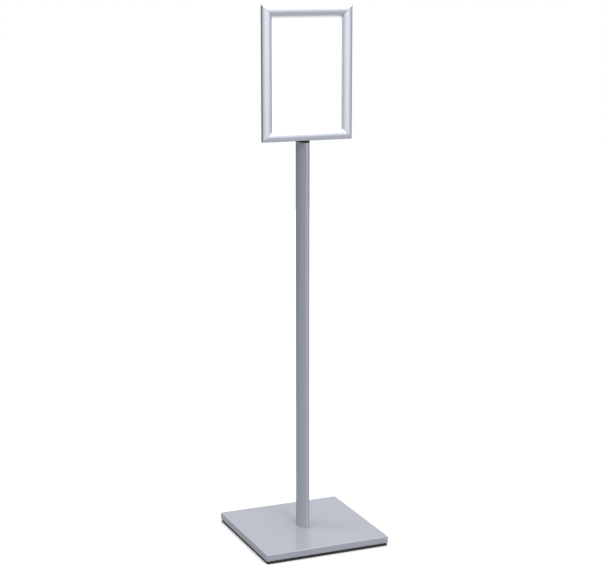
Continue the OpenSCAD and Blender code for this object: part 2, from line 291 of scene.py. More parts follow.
def dieLinesGroup():
    # fine lines and broad bands along an extrusion: noise read on coordinates that are
    # squeezed along its length
    group, given, made = newGroup(
        "dieLines", {"Vector": None, "Fine": 1400.0, "Broad": 160.0}, ["Lines", "Bands"])
    plug(group, noise(group, given["Vector"], given["Fine"], 2.0, 0.6), made["Lines"])
    plug(group, noise(group, given["Vector"], given["Broad"], 3.0), made["Bands"])
    return group


def powderGroup():
    # orange peel and metal flakes of a powder coat: slow soft noise for the skin,
    # small cells for the flakes, and a wide cloud for the sheen
    group, given, made = newGroup(
        "powderSkin", {"Vector": None, "Peel": 420.0, "Flake": 2600.0},
        ["Skin", "Flakes", "Cloud"])
    flakes = addNode(group, "ShaderNodeTexVoronoi", Vector=given["Vector"], Scale=given["Flake"])
    plug(group, noise(group, given["Vector"], given["Peel"], 2.0, 0.45), made["Skin"])
    plug(group, channel(group, flakes.outputs["Color"], 0), made["Flakes"])
    plug(group, noise(group, given["Vector"], 9.0, 4.0, 0.55), made["Cloud"])
    return group


def wearGroup():
    # handled edges: where the surface bends sharply, broken up by noise
    group, given, made = newGroup(
        "edgeWear", {"Vector": None, "Amount": 0.5, "Break up": 90.0}, ["Mask"])
    bend = group.nodes.new("ShaderNodeNewGeometry").outputs["Pointiness"]
    patches = noise(group, given["Vector"], given["Break up"], 5.0, 0.65)
    worn = mathNode(group, "MULTIPLY", ranged(group, bend, 0.0, 1.0, 0.52, 0.62), patches)
    plug(group, mathNode(group, "MULTIPLY", worn, given["Amount"], clamp=True), made["Mask"])
    return group


def dustGroup():
    # a thin film of dust that lies on what faces up, thicker in patches
    group, given, made = newGroup("settledDust", {"Vector": None, "Amount": 0.3}, ["Mask"])
    rise = upward(group, group.nodes.new("ShaderNodeNewGeometry").outputs["Normal"])
    patches = noise(group, given["Vector"], 14.0, 6.0, 0.7)
    thick = mathNode(group, "MULTIPLY", ranged(group, rise, 0.0, 1.0, 0.55, 1.0), patches)
    plug(group, mathNode(group, "MULTIPLY", thick, given["Amount"], clamp=True), made["Mask"])
    return group


dieLines, powderSkin = dieLinesGroup(), powderGroup()
edgeWear, settledDust = wearGroup(), dustGroup()
print("shader groups built")


def newMaterial(name, metallic, roughness, **sockets):
    m = bpy.data.materials.new(name)
    m.use_nodes = True
    tree = m.node_tree
    tree.nodes.clear()
    out = tree.nodes.new("ShaderNodeOutputMaterial")
    skin = addNode(tree, "ShaderNodeBsdfPrincipled", Metallic=metallic, Roughness=roughness,
                   **sockets)
    tree.links.new(skin.outputs[0], out.inputs["Surface"])
    return m, tree, skin, tree.nodes.new("ShaderNodeTexCoord").outputs["Object"]


def groupNode(tree, group, vector, **values):
    n = tree.nodes.new("ShaderNodeGroup")
    n.node_tree = group
    plug(tree, vector, n.inputs["Vector"])
    for key, value in values.items():
        n.inputs[key].default_value = value
    return n.outputs


def bumped(tree, skin, height, strength, distance):
    n = addNode(tree, "ShaderNodeBump", Strength=strength, Distance=distance, Height=height)
    tree.links.new(n.outputs[0], skin.inputs["Normal"])


def aged(tree, place, look, tone):
    # edge wear and then dust laid over a colour; gives the colour and the dust's mask
    wear = groupNode(tree, edgeWear, place, Amount=look["wear"])["Mask"]
    dust = groupNode(tree, settledDust, place, Amount=look["dust"])["Mask"]
    return mixed(tree, dust, mixed(tree, wear, tone, look["worn"]), look["dustTone"]), dust


def wandering(tree, value, middle, below, above, narrow=0.3):
    # roughness that follows a noise value, which is spread from its own middle range
    return ranged(tree, value, middle - below, middle + above, narrow, 1.0 - narrow)


def dusty(tree, rough, dust):
    dustRoughness = 0.3
    return mathNode(tree, "ADD", rough, mathNode(tree, "MULTIPLY", dust, dustRoughness))


def extrudedMetal(name, along, look):
    # satin anodised or plain aluminium, its lines running along one axis
    m, tree, skin, place = newMaterial(
        name, look["metallic"], look["roughness"], Specular_IOR_Level=look["specular"],
        Specular_Tint=look["edge"] + (1.0,))
    scale = {"X": (0.02, 1.0, 1.0), "Z": (1.0, 1.0, 0.02)}[along]
    lines = groupNode(tree, dieLines, squeezed(tree, place, scale), Fine=look["fine"],
                      Broad=look["broad"])
    tone = mixed(tree, lines["Bands"], look["dark"], look["light"])
    tone, dust = aged(tree, place, look, tone)
    plug(tree, tone, skin.inputs["Base Color"])
    spread = look["roughRange"]
    rough = wandering(tree, lines["Lines"], look["roughness"], spread, spread, 0.25)
    plug(tree, dusty(tree, rough, dust), skin.inputs["Roughness"])
    bumped(tree, skin, lines["Lines"], look["bump"], 0.04 * mm)
    return m


anodisedLook = {
    "metallic": 0.9, "roughness": 0.32, "roughRange": 0.05, "fine": 1500.0, "broad": 130.0,
    "dark": (0.60, 0.63, 0.68), "light": (0.67, 0.70, 0.75), "worn": (0.82, 0.83, 0.85),
    "wear": 0.5, "dust": 0.12, "dustTone": (0.62, 0.61, 0.59), "bump": 0.25,
    "specular": 0.5, "edge": (1.0, 1.0, 1.0)}
plainLook = dict(
    anodisedLook, metallic=0.95, roughness=0.34, roughRange=0.08, fine=1200.0, broad=200.0,
    dark=(0.58, 0.59, 0.60), light=(0.72, 0.73, 0.74), worn=(0.85, 0.85, 0.85),
    wear=0.4, dust=0.1, bump=0.5)
postLook = dict(
    anodisedLook, metallic=0.45, roughness=0.4, dark=(0.325, 0.345, 0.385),
    light=(0.365, 0.385, 0.43), worn=(0.6, 0.62, 0.65), dust=0.05, specular=0.15,
    edge=(0.55, 0.56, 0.58))

anodisedX = extrudedMetal("anodisedRailsAcross", "X", anodisedLook)
anodisedZ = extrudedMetal("anodisedRailsUpright", "Z", anodisedLook)
anodisedPost = extrudedMetal("anodisedPost", "Z", postLook)
plainX = extrudedMetal("plainRailsAcross", "X", plainLook)
plainZ = extrudedMetal("plainRailsUpright", "Z", plainLook)


def powderCoat(name, look):
    m, tree, skin, place = newMaterial(
        name, look["metallic"], look["roughness"], Coat_Weight=look["coat"],
        Coat_Roughness=look["coatRoughness"], Specular_IOR_Level=look["specular"])
    powder = groupNode(tree, powderSkin, place, Peel=look["peel"], Flake=look["flake"])
    tone = mixed(tree, powder["Flakes"], look["dark"], look["light"])
    tone, dust = aged(tree, place, look, tone)
    plug(tree, tone, skin.inputs["Base Color"])
    spread = look["roughRange"]
    rough = wandering(tree, powder["Cloud"], look["roughness"], spread, spread)
    plug(tree, dusty(tree, rough, dust), skin.inputs["Roughness"])
    bumped(tree, skin, powder["Skin"], look["bump"], 0.06 * mm)
    return m


silverPaint = powderCoat("silverPowderCoat", {
    "metallic": 0.3, "roughness": 0.45, "roughRange": 0.04, "coat": 0.95,
    "coatRoughness": 0.12, "specular": 0.5, "peel": 420.0, "flake": 2600.0,
    "dark": (0.260, 0.270, 0.308), "light": (0.308, 0.318, 0.356),
    "worn": (0.52, 0.54, 0.58), "wear": 0.35, "dust": 0.05, "dustTone": (0.55, 0.54, 0.52),
    "bump": 0.2})
blackPaint = powderCoat("blackPowderCoat", {
    "metallic": 0.0, "roughness": 0.55, "roughRange": 0.06, "coat": 0.0,
    "coatRoughness": 0.3, "specular": 0.25, "peel": 1300.0, "flake": 3000.0,
    "dark": (0.008, 0.008, 0.009), "light": (0.014, 0.014, 0.016),
    "worn": (0.10, 0.10, 0.10), "wear": 0.4, "dust": 0.04, "dustTone": (0.55, 0.54, 0.52),
    "bump": 0.5})


def platedSteel(name, look):
    # plated, blackened or blued steel: a cloudy tint and a fine even grain
    calmer, rougher, grainBump = 0.1, 0.12, 0.35
    m, tree, skin, place = newMaterial(name, look["metallic"], look["roughness"])
    cloud = noise(tree, place, look["cloud"], 4.0, 0.6)
    grain = noise(tree, place, look["grain"], 3.0, 0.7)
    wear = groupNode(tree, edgeWear, place, Amount=look["wear"])["Mask"]
    tone = mixed(tree, cloud, look["dark"], look["light"])
    plug(tree, mixed(tree, wear, tone, look["worn"]), skin.inputs["Base Color"])
    rough = wandering(tree, grain, look["roughness"], calmer, rougher)
    plug(tree, rough, skin.inputs["Roughness"])
    bumped(tree, skin, grain, grainBump, 0.03 * mm)
    return m


zincPlate = platedSteel("zincPlate", {
    "metallic": 1.0, "roughness": 0.3, "cloud": 260.0, "grain": 1800.0, "wear": 0.4,
    "dark": (0.52, 0.54, 0.60), "light": (0.68, 0.68, 0.66), "worn": (0.85, 0.85, 0.84)})
blackOxide = platedSteel("blackOxide", {
    "metallic": 0.8, "roughness": 0.42, "cloud": 180.0, "grain": 1500.0, "wear": 0.5,
    "dark": (0.020, 0.020, 0.024), "light": (0.045, 0.043, 0.042), "worn": (0.2, 0.2, 0.2)})
springSteel = platedSteel("bluedSpringSteel", {
    "metallic": 1.0, "roughness": 0.34, "cloud": 60.0, "grain": 2200.0, "wear": 0.3,
    "dark": (0.15, 0.16, 0.19), "light": (0.21, 0.22, 0.25), "worn": (0.4, 0.4, 0.42)})


plasticLook = {"cloud": 25.0, "roughRange": 0.06, "dust": 0.15, "dustTone": (0.6, 0.59, 0.57)}


def mouldedPlastic(name, colour, shade, roughness, scale, bump):
    m, tree, skin, place = newMaterial(name, 0.0, roughness)
    grain = noise(tree, place, scale, 4.0, 0.6)
    cloud = noise(tree, place, plasticLook["cloud"], 3.0)
    dust = groupNode(tree, settledDust, place, Amount=plasticLook["dust"])["Mask"]
    tone = mixed(tree, dust, mixed(tree, cloud, shade, colour), plasticLook["dustTone"])
    plug(tree, tone, skin.inputs["Base Color"])
    spread = plasticLook["roughRange"]
    plug(tree, wandering(tree, grain, roughness, spread, spread), skin.inputs["Roughness"])
    bumped(tree, skin, grain, bump, 0.04 * mm)
    return m


footRubber = mouldedPlastic(
    "footRubber", (0.035, 0.035, 0.036), (0.02, 0.02, 0.021), 0.75, 900.0, 0.5)
nylon = mouldedPlastic(
    "blackNylon", (0.04, 0.04, 0.044), (0.025, 0.025, 0.028), 0.5, 1200.0, 0.3)
styrene = mouldedPlastic(
    "whiteStyrene", (0.86, 0.86, 0.85), (0.83, 0.83, 0.825), 0.38, 1500.0, 0.12)
posterCard = mouldedPlastic(
    "posterCard", (0.95, 0.95, 0.95), (0.94, 0.94, 0.94), 0.8, 2200.0, 0.15)


def fibreboard():
    m, tree, skin, place = newMaterial("fibreboard", 0.0, 0.85)
    fibres = noise(tree, squeezed(tree, place, (0.4, 0.4, 1.6)), 700.0, 5.0, 0.75)
    layers = noise(tree, squeezed(tree, place, (0.3, 0.3, 6.0)), 60.0, 3.0)
    tone = mixed(tree, fibres, (0.40, 0.29, 0.18), (0.62, 0.48, 0.32))
    plug(tree, mixed(tree, layers, tone, (0.50, 0.38, 0.25)), skin.inputs["Base Color"])
    bumped(tree, skin, fibres, 0.6, 0.1 * mm)
    return m


def clearFilm():
    # a thin clear sheet; light on its way to the poster passes straight through
    m, tree, skin, place = newMaterial(
        "clearFilm", 0.0, 0.12, Transmission_Weight=1.0, IOR=1.35,
        Base_Color=(0.985, 0.99, 0.995, 1.0))
    haze = noise(tree, place, 30.0, 4.0)
    plug(tree, wandering(tree, haze, 0.12, 0.04, 0.04), skin.inputs["Roughness"])
    path = tree.nodes.new("ShaderNodeLightPath").outputs
    lightOnly = mathNode(tree, "MAXIMUM", path["Is Shadow Ray"], path["Is Diffuse Ray"])
    out = skin.outputs[0].links[0].to_node
    eitherShader(tree, lightOnly, skin, tree.nodes.new("ShaderNodeBsdfTransparent"), out)
    return m


board, film = fibreboard(), clearFilm()
for nodeName, material in {
        "core_board": board, "ballast_plate": blackPaint, "ballast_screws": zincPlate,
        "post_washers": zincPlate, "nut_bar": zincPlate}.items():
    mesh = frame["nodes"][nodeName].data
    mesh.materials.clear()
    mesh.materials.append(material)
print("materials built:", len(bpy.data.materials))


cover = {"bend": 1.5, "innerBend": 0.3, "corner": 2.8, "innerCorner": 0.3, "sheet": 1.5,
         "rim": 0.55, "bendSteps": 6, "rimSteps": 3, "sideSteps": 4, "flatRings": 12,
         "flatFrom": 0.04, "flatTo": 0.96, "flatEdge": 0.995}


def baseCover():
    # rings of one rounded square: from the middle out over the top, round the bend, down
    # the side, under the rim, and back up and in along the inner face
    low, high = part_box("base_cover")
    half, top, rimZ = high.x / mm, high.z / mm, low.z / mm
    t, bend, inner, rim = (cover[k] for k in ("sheet", "bend", "innerBend", "rim"))
    turn = np.radians(np.linspace(0, 90, cover["bendSteps"] + 1))
    under = np.radians(np.linspace(0, 90, cover["rimSteps"] + 1))
    side = np.linspace(top - bend, rimZ + rim, cover["sideSteps"] + 1)[1:-1]
    flat = np.linspace(cover["flatFrom"], cover["flatTo"], cover["flatRings"])
    flat = np.append(flat, cover["flatEdge"])

    def ring(inset, z, scale=1.0):
        radius = max(cover["corner"] - inset, cover["innerCorner"])
        return atHeight(roundedBox(half - inset, half - inset, radius) * scale, z)

    rows = [ring(bend, top, s) for s in flat]
    rows += [ring(bend * (1 - math.sin(a)), top - bend * (1 - math.cos(a))) for a in turn]
    rows += [ring(0, z) for z in side]
    rows += [ring(rim * (1 - math.cos(a)), rimZ + rim * (1 - math.sin(a))) for a in under]
    rows += [ring(t - rim * (1 - math.cos(a)), rimZ + rim * (1 - math.sin(a)))
             for a in under[::-1]]
    rows += [ring(t + inner * (1 - math.cos(a)), top - t - inner * (1 - math.sin(a)))
             for a in turn]
    rows += [ring(t + inner, top - t, s) for s in flat[::-1]]
    return poled(rows, (0, 0, top), (0, 0, top - t))


newPiece("baseCover", baseCover(), silverPaint, "silver_paint", ["base_cover"], angle=60)


foot = {"edge": 0.5, "knee": 0.15, "dish": (1.2, 3.2, 4.0), "dishDepth": 0.5, "lip": 0.12,
        "lipOut": 0.3}


def rubberFeet():
    # lathe form: flat pad with a rounded lower edge and a shallow dish in its middle
    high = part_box("rubber_feet")[1]
    at = frame["record"]["mounts"][0]["pos_m"][0] / mm
    outer, height = high.x / mm - at, high.z / mm
    edge, knee, depth = foot["edge"], foot["knee"], foot["dishDepth"]
    middle, flat, dish = foot["dish"]
    profile = [(middle, depth), (flat, depth), (dish, foot["lip"]),
               (dish + foot["lipOut"], 0), (outer - edge, 0), (outer - knee, knee),
               (outer, edge), (outer, height)]
    pad = poled(turned(profile, steps=40), (0, 0, depth), (0, 0, height))
    return copiesAt(pad, [(x * at, y * at, 0) for x in (-1, 1) for y in (-1, 1)])


newPiece("rubberFeet", rubberFeet(), footRubber, "foot_rubber", ["rubber_feet"], angle=50)


portY = 14.0
bolt = {"shank": 4.0, "head": 6.5, "headHeight": 4.0, "apothem": 2.5, "recess": 2.5}
screwEnd = {"narrow": 0.8, "taper": 0.6, "under": 0.3, "rim": 0.4, "mouth": 1.25,
            "mouthDepth": 0.3, "drill": 0.3, "drillDepth": 0.5, "drillTip": 0.6}


def capScrew(look, length):
    # lathe form standing on its shank's end, with a six-sided recess in its head
    r, head, apothem = look["shank"], look["head"], look["apothem"]
    e, top = screwEnd, length + look["headHeight"]
    floor = top - look["recess"]
    profile = [(r * e["narrow"], 0), (r, e["taper"]), (r, length), (head - e["under"], length),
               (head, length + e["under"]), (head, top - e["rim"]), (head - e["rim"], top),
               (apothem * e["mouth"], top), (apothem, top - e["mouthDepth"]),
               (apothem, floor), (e["drill"], floor - e["drillDepth"])]
    return poled(turned(profile, hexRings=[8, 9]), (0, 0, 0), (0, 0, floor - e["drillTip"]))


def postBolts():
    low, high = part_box("post_bolts")
    verts, faces = capScrew(bolt, (high.z - low.z) / mm - bolt["headHeight"])
    verts = facing(verts, "-Z") + [0, 0, high.z / mm]
    return copiesAt((verts, faces), [(0, -portY, 0), (0, portY, 0)])


newPiece("postBolts", postBolts(), blackOxide, "black_bolts", ["post_bolts"], angle=40)
print("base built")


postShape = {"depth": 60.0, "width": 30.0, "nose": 5.0, "wall": 1.8, "rows": 26,
             "portOuter": 6.2, "portInner": 3.05, "portSteps": 40, "short": 0.3,
             "webHalf": 11.0, "webThick": 1.8, "webCorner": 0.15, "webBite": 0.4}


def ovalOutline(inset=0.0, noseSteps=16, flankSteps=36):
    # two flank arcs of a large circle that run smoothly into two small nose arcs
    half, w, nose = postShape["depth"] / 2, postShape["width"], postShape["nose"]
    big = ((half - nose) ** 2 + (w / 2) ** 2 - nose ** 2) / (w - 2 * nose)
    shift = big - w / 2
    noseY = half - nose
    turnAt = math.degrees(math.atan2(noseY, shift))
    right = arc((-shift, 0), big - inset, -turnAt, turnAt, flankSteps)
    back = arc((0, noseY), nose - inset, turnAt, 180 - turnAt, noseSteps)
    left = arc((shift, 0), big - inset, 180 - turnAt, 180 + turnAt, flankSteps)
    front = arc((0, -noseY), nose - inset, 180 + turnAt, 360 - turnAt, noseSteps)
    return np.concatenate([right[:-1], back[:-1], left[:-1], front[:-1]])


def tubeWall(outer, inner, lowZ, highZ, rows):
    # an outer and an inner skin that close into each other at both ends
    z = np.linspace(lowZ, highZ, rows)
    rings = np.asarray([atHeight(outer, h) for h in z] + [atHeight(inner, h) for h in z[::-1]])
    total, cols = rings.shape[:2]
    index = np.arange(total * cols).reshape(total, cols)
    return rings.reshape(-1, 3), indexQuads(np.concatenate([index, index[:1]]))


def postBody():
    low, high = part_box("post")
    return tubeWall(ovalOutline(), ovalOutline(postShape["wall"]), low.z / mm, high.z / mm,
                    postShape["rows"])


def postPorts():
    # the two screw ports and the webs that carry them, inside the post
    low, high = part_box("post")
    lowZ, highZ = low.z / mm + postShape["short"], high.z / mm - postShape["short"]
    nearX, farX = postShape["portOuter"] - postShape["webBite"], postShape["webHalf"]
    web = roundedBox((farX - nearX) / 2, postShape["webThick"] / 2, postShape["webCorner"],
                     cornerSteps=2, sideSteps=2)
    parts = []
    for y in (-portY, portY):
        outer, inner = (arc((0, y), postShape[k], 0, 360, postShape["portSteps"])[:-1]
                        for k in ("portOuter", "portInner"))
        parts.append(tubeWall(outer, inner, lowZ, highZ, 3))
        for side in (-1, 1):
            placed = web + [side * (farX + nearX) / 2, y]
            parts.append(capped([atHeight(placed, z) for z in (lowZ, highZ)]))
    return several(parts)


newPiece("postExtrusion", postBody(), anodisedPost, "anodised_silver", ["post"], bevel=0.25,
         angle=50)
newPiece("postScrewPorts", postPorts(), plainZ, "anodised_silver", angle=40)
print("post built")


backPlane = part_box("back_rail_bottom")[1].y / mm
frameLow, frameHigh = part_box("snap_rail_bottom")[0].z / mm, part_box("snap_rail_top")[1].z / mm
frameW = 2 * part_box("snap_rail_right")[1].x / mm
frameH, frameMid = frameHigh - frameLow, (frameHigh + frameLow) / 2

rail = {"width": 25.0, "depth": 12.5, "shoulder": 8.8, "wall": 1.2, "mitreGap": 0.3,
        "backGap": 0.1, "hingeU": 1.8, "hingeW": 4.2, "bead": 0.9, "slack": 0.08,
        "socket": 1.7, "socketFrom": -58.0, "socketTo": 151.0, "wallCut": 148.0,
        "hingeBack": 6.0, "stepFrom": 4.0, "endWallW": 6.0, "outerFillet": 2.2,
        "innerFillet": 1.6, "lipW": 3.9, "camU": 7.2, "camW": 4.7, "camT": 1.0,
        "round": 0.5, "crease": 0.3, "nick": 0.12, "footCut": 0.07, "wallEnd": 0.25,
        "bareCorner": 0.02, "raised": (0.35, 0.5, 0.65), "rows": 14}


def placedRail(turn, along, u, w):
    # a point along a rail, u in from the frame's edge and w forward of its back,
    # turned about the frame's middle: 0 bottom, 90 left, 180 top, 270 right
    reach = (frameH if turn % 180 == 0 else frameW) / 2
    a = math.radians(turn)
    up = u - reach
    x = along * math.cos(a) + up * math.sin(a)
    z = -along * math.sin(a) + up * math.cos(a)
    return np.stack(np.broadcast_arrays(x, backPlane - w, z + frameMid), -1)


def sideLength(turn):
    return frameW if turn % 180 == 0 else frameH


def snapSections():
    # the hinged rail's outline in three runs: shared, the socket's, and the bare wall's
    # where the socket stops short of a corner
    width, wall, mid = rail["width"], rail["wall"], rail["width"] / 2
    rise = rail["depth"] - rail["shoulder"]
    dome = (mid ** 2 + rise ** 2) / (2 * rise)
    low = rail["depth"] - dome
    hinge, socket = (rail["hingeU"], rail["hingeW"]), rail["socket"]
    rounding, crease, nick = rail["round"], rail["crease"], rail["nick"]

    def filletCentre(r):
        return low + math.sqrt((dome - r) ** 2 - (mid - r) ** 2)

    def underDome(u):
        return low + np.sqrt((dome - wall) ** 2 - (u - mid) ** 2)

    def underRun(fromU, toU, steps):
        u = np.linspace(fromU, toU, steps)
        return np.column_stack([u, underDome(u)])

    fo, fi = rail["outerFillet"], rail["innerFillet"]
    wo, wi = filletCentre(fo), filletCentre(fi)
    angleOut = math.degrees(math.atan2(wo - low, fo - mid))
    angleIn = math.degrees(math.atan2(wi - low, width - fi - mid))
    slope = math.radians(rail["wallCut"])
    wallFoot = hinge[1] - hinge[0] * math.tan(slope)
    lip, lipEnd = rail["lipW"], wall / 2
    innerU, outerU = width - wall - rounding, wall + rounding
    cam0, cam1, camEnd = rail["camU"], rail["camU"] + rail["camT"], rail["camT"] / 2
    meet = math.acos((wall - hinge[0]) / socket)
    meetW = hinge[1] + socket * math.sin(meet)
    endW = rail["endWallW"]
    shared = [
        hinge + socket * np.array([[math.cos(slope), math.sin(slope)]]),
        [[nick, wallFoot - rail["footCut"]], [0.0, wallFoot + nick]],
        arc((fo, wo), fo, 180, angleOut, 8),
        arc((mid, low), dome, angleOut, angleIn, 40)[1:-1],
        arc((width - fi, wi), fi, angleIn, 0, 8),
        arc((width - lipEnd, lip + lipEnd), lipEnd, 0, -180, 8),
        arc((innerU, underDome(innerU) - rounding), rounding, 0, 65, 4),
        underRun(innerU - rounding, cam1 + crease, 20),
        [[cam1, underDome(cam1) - crease]],
        arc((cam0 + camEnd, rail["camW"] + camEnd), camEnd, 0, -180, 8),
        [[cam0, underDome(cam0) - crease]],
        underRun(cam0 - crease, outerU + rounding, 8),
        arc((outerU, underDome(outerU) - rounding), rounding, 115, 180, 4),
        [[wall, max(meetW, endW) + rail["wallEnd"]]],
    ]
    start, end = rail["socketFrom"], rail["socketTo"]
    socketRun = np.concatenate([
        arc(hinge, socket, math.degrees(meet), start + 8, 20),
        arc(hinge, rail["bead"] + rail["slack"], start + 3, end - 3, 30),
        arc(hinge, socket, end - 1, rail["wallCut"] + 1, 1)])
    bareRun = np.array([[wall, endW + nick], [wall - nick, endW], [nick, endW],
                        [rail["bareCorner"], endW + nick / 2]])
    return np.concatenate([np.reshape(s, (-1, 2)) for s in shared]), socketRun, bareRun


def snapRail(turn):
    # the outline is carried along the rail between two mitres. Its end stretches have the
    # bare wall, the middle has the socket, and a flat step closes one into the other.
    shared, socketRun, bareRun = snapSections()
    half = sideLength(turn) / 2
    shares = np.linspace(-1, 1, rail["rows"])
    verts = []

    def endAt(p):
        return half - rail["mitreGap"] / math.sqrt(2) - p[:, 0]

    def stepAt(p):
        return half - rail["hingeBack"] - np.maximum(p[:, 0] - rail["stepFrom"], 0)

    def block(p, rowsAlong):
        start = sum(len(v) for v in verts)
        for along in rowsAlong:
            verts.append(placedRail(turn, along, p[:, 0], p[:, 1]))
        return np.arange(start, start + len(p) * len(rowsAlong)).reshape(-1, len(p))

    def ends(p):
        return block(p, [-endAt(p), -stepAt(p), stepAt(p), endAt(p)])

    # the foot of the wall is raised at the corners, so its points there are their own
    sharedRows = block(shared, [-endAt(shared)] + [s * stepAt(shared) for s in shares]
                       + [endAt(shared)])
    socketRows = block(socketRun, [s * stepAt(socketRun) for s in shares])
    bareRows = ends(bareRun)
    raised = np.array([[0.0, rail["endWallW"] + rise] for rise in rail["raised"]])
    footRows = ends(raised)
    count = len(raised)
    rest = sharedRows[:, count:]
    firstEnd = [np.concatenate([footRows[i], rest[i], bareRows[i]]) for i in (0, 1)]
    lastEnd = [np.concatenate([footRows[i], rest[i - 4], bareRows[i]]) for i in (2, 3)]
    middle = [np.concatenate([sharedRows[i + 1], socketRows[i]]) for i in range(len(shares))]
    faces = indexQuads(firstEnd) + indexQuads(middle) + indexQuads(lastEnd)
    faces += [firstEnd[0].tolist(), lastEnd[1].tolist()[::-1]]
    for row, inward, e in ((0, 1, 1), (-1, -2, 2)):
        faces.append(np.concatenate([
            rest[inward][:1], footRows[e][::-1], bareRows[e][::-1], rest[inward][-1:],
            socketRows[row], sharedRows[inward][:count]]).tolist())
    return np.concatenate(verts), faces


backShape = {"floor": 1.2, "wallTop": 1.9, "start": 0.2, "end": 22.0, "neck": 0.35,
             "ease": 0.15, "channel": (4.9, 10.4), "wall": (4.2, 11.3), "lip": (3.4, 4.0),
             "lipIn": 0.5, "beadIn": 0.1, "beadSteps": 28}


def backSection():
    # the fixed rail: floor, outer wall, neck with its bead, and the channel with two lips
    hu, hw, bead = rail["hingeU"], rail["hingeW"], rail["bead"]
    b = backShape
    floor, neck, start, end = b["floor"], b["neck"], b["start"], b["end"]
    near, far = b["channel"]
    nearWall, farWall = b["wall"]
    under, over = b["lip"]
    neckTop = hw - bead + b["beadIn"]
    corners = [
        [start, 0], [end, 0], [end, floor], [farWall, floor], [farWall, over],
        [far - b["lipIn"], over], [far - b["lipIn"], under], [far, under], [far, floor],
        [near, floor], [near, under], [near + b["lipIn"], under], [near + b["lipIn"], over],
        [nearWall, over], [nearWall, floor], [hu + neck, floor], [hu + neck, neckTop],
        [hu - neck, neckTop], [hu - neck, b["wallTop"]], [start, b["wallTop"]]]
    # the neck's two upper corners give way to the bead, an arc from one side to the other
    soft = softened(corners, b["ease"]).reshape(len(corners), -1, 2)
    down = math.degrees(math.asin(neck / bead))
    beadArc = arc((hu, hw), bead, down - 90, 270 - down, b["beadSteps"])
    return np.concatenate([soft[:16].reshape(-1, 2), beadArc, soft[18:].reshape(-1, 2)])


def backRail(turn):
    outline = backSection()
    half = sideLength(turn) / 2 - rail["backGap"] / math.sqrt(2)
    return capped([placedRail(turn, s * (half - outline[:, 0]), outline[:, 0], outline[:, 1])
                   for s in np.linspace(-1, 1, rail["rows"])])


sides = {"bottom": 0, "left": 90, "top": 180, "right": 270}
for sideName, turn in sides.items():
    level = turn % 180 == 0
    newPiece(sideName + "SnapRail", snapRail(turn), anodisedX if level else anodisedZ,
             "anodised_silver", ["snap_rail_" + sideName], sideName + "_snap_rail",
             bevel=0.1, angle=55)
    newPiece(sideName + "BackRail", backRail(turn), plainX if level else plainZ,
             "mill_aluminium", ["back_rail_" + sideName], bevel=0.08, angle=55)
print("rails built")


channelMid = sum(backShape["channel"]) / 2
key = {"width": 5.2, "thick": 2.0, "leg": 30.0, "teeth": 7, "bite": 0.25, "bed": 1.25,
       "plain": 3.0, "point": 2.0, "chamfer": 0.8, "tipIn": (0.4, 1.4)}


def cornerKeys():
    # an angle in the plane of the frame; the legs' sides carry small barbs, a saw wave
    # across the leg's half width, and each leg narrows at its tip
    h, leg = key["width"] / 2, key["leg"] - key["width"] / 2
    steps = np.linspace(0, 1, key["teeth"] * 2 + 1)
    wave = h - key["bite"] * (np.arange(len(steps)) % 2)
    run = h + key["plain"] + steps * (leg - h - key["plain"] - key["point"])
    c, (broad, narrow) = key["chamfer"], (h - drop for drop in key["tipIn"])
    tip = [[leg - c, broad], [leg, narrow], [leg, -narrow], [leg - c, -broad]]
    along = np.concatenate([[[h, h]], np.column_stack([run, wave]), tip,
                            np.column_stack([run[::-1], -wave[::-1]])])
    outline = np.concatenate([along, [[c - h, -h], [-h, c - h]], along[::-1, ::-1][:-1]])
    x, z = frameW / 2 - channelMid, frameH / 2 - channelMid
    front = backPlane - key["bed"]
    return several([
        capped([np.column_stack([sx * (x - outline[:, 0]), np.full(len(outline), y),
                                 frameMid + sz * (z - outline[:, 1])])
                for y in (front, front - key["thick"])])
        for sx in (-1, 1) for sz in (-1, 1)])


spring = {"length": 28.0, "width": 4.2, "footWidth": 5.2, "footLength": 4.5, "thick": 0.4,
          "rise": 2.6, "fromEnd": 51.0, "bed": 1.25, "rows": 36, "ease": 0.12,
          "stepHalf": 0.5, "endRound": 1.2, "endWidth": 0.5}


def leafSprings():
    # a strip bent to one arc; its half width grows to the feet by a smooth step near the
    # ends, t^2 (3 - 2t), and narrows again over the last of its length by a square root
    half, thick = spring["length"] / 2, spring["thick"]
    r = (half ** 2 + spring["rise"] ** 2) / (2 * spring["rise"])
    seat = math.sqrt((r - thick) ** 2 - half ** 2)
    reach = math.asin(half / r)
    a = np.linspace(-reach, reach, spring["rows"])
    fromEnd = half - np.abs(np.sin(a) * r)
    footEnd = spring["footLength"] + spring["stepHalf"]
    t = np.clip((footEnd - fromEnd) / (2 * spring["stepHalf"]), 0, 1)
    least = spring["endWidth"] ** 2
    roundEnd = np.sqrt(np.clip(fromEnd / spring["endRound"], 0, 1) * (1 - least) + least)
    widen = (spring["footWidth"] - spring["width"]) * t * t * (3 - 2 * t)
    halfWidth = (spring["width"] + widen) / 2 * roundEnd
    section = softened([[1, 1], [-1, 1], [-1, 0], [1, 0]], spring["ease"], 2)
    across = section[None, :, 0] * halfWidth[:, None]
    radius = r + (section[None, :, 1] - 1) * thick
    alongArc = np.sin(a)[:, None] * radius
    height = np.cos(a)[:, None] * radius - seat
    return several([
        capped(placedRail(turn, end * (sideLength(turn) / 2 - spring["fromEnd"]) + alongArc,
                          channelMid + across, spring["bed"] + height))
        for turn in sides.values() for end in (-1, 1)])


newPiece("cornerKeys", cornerKeys(), nylon, "key_plastic", ["corner_keys"], bevel=0.15,
         angle=50)
newPiece("leafSprings", leafSprings(), springSteel, "spring_steel", ["leaf_springs"],
         angle=40)


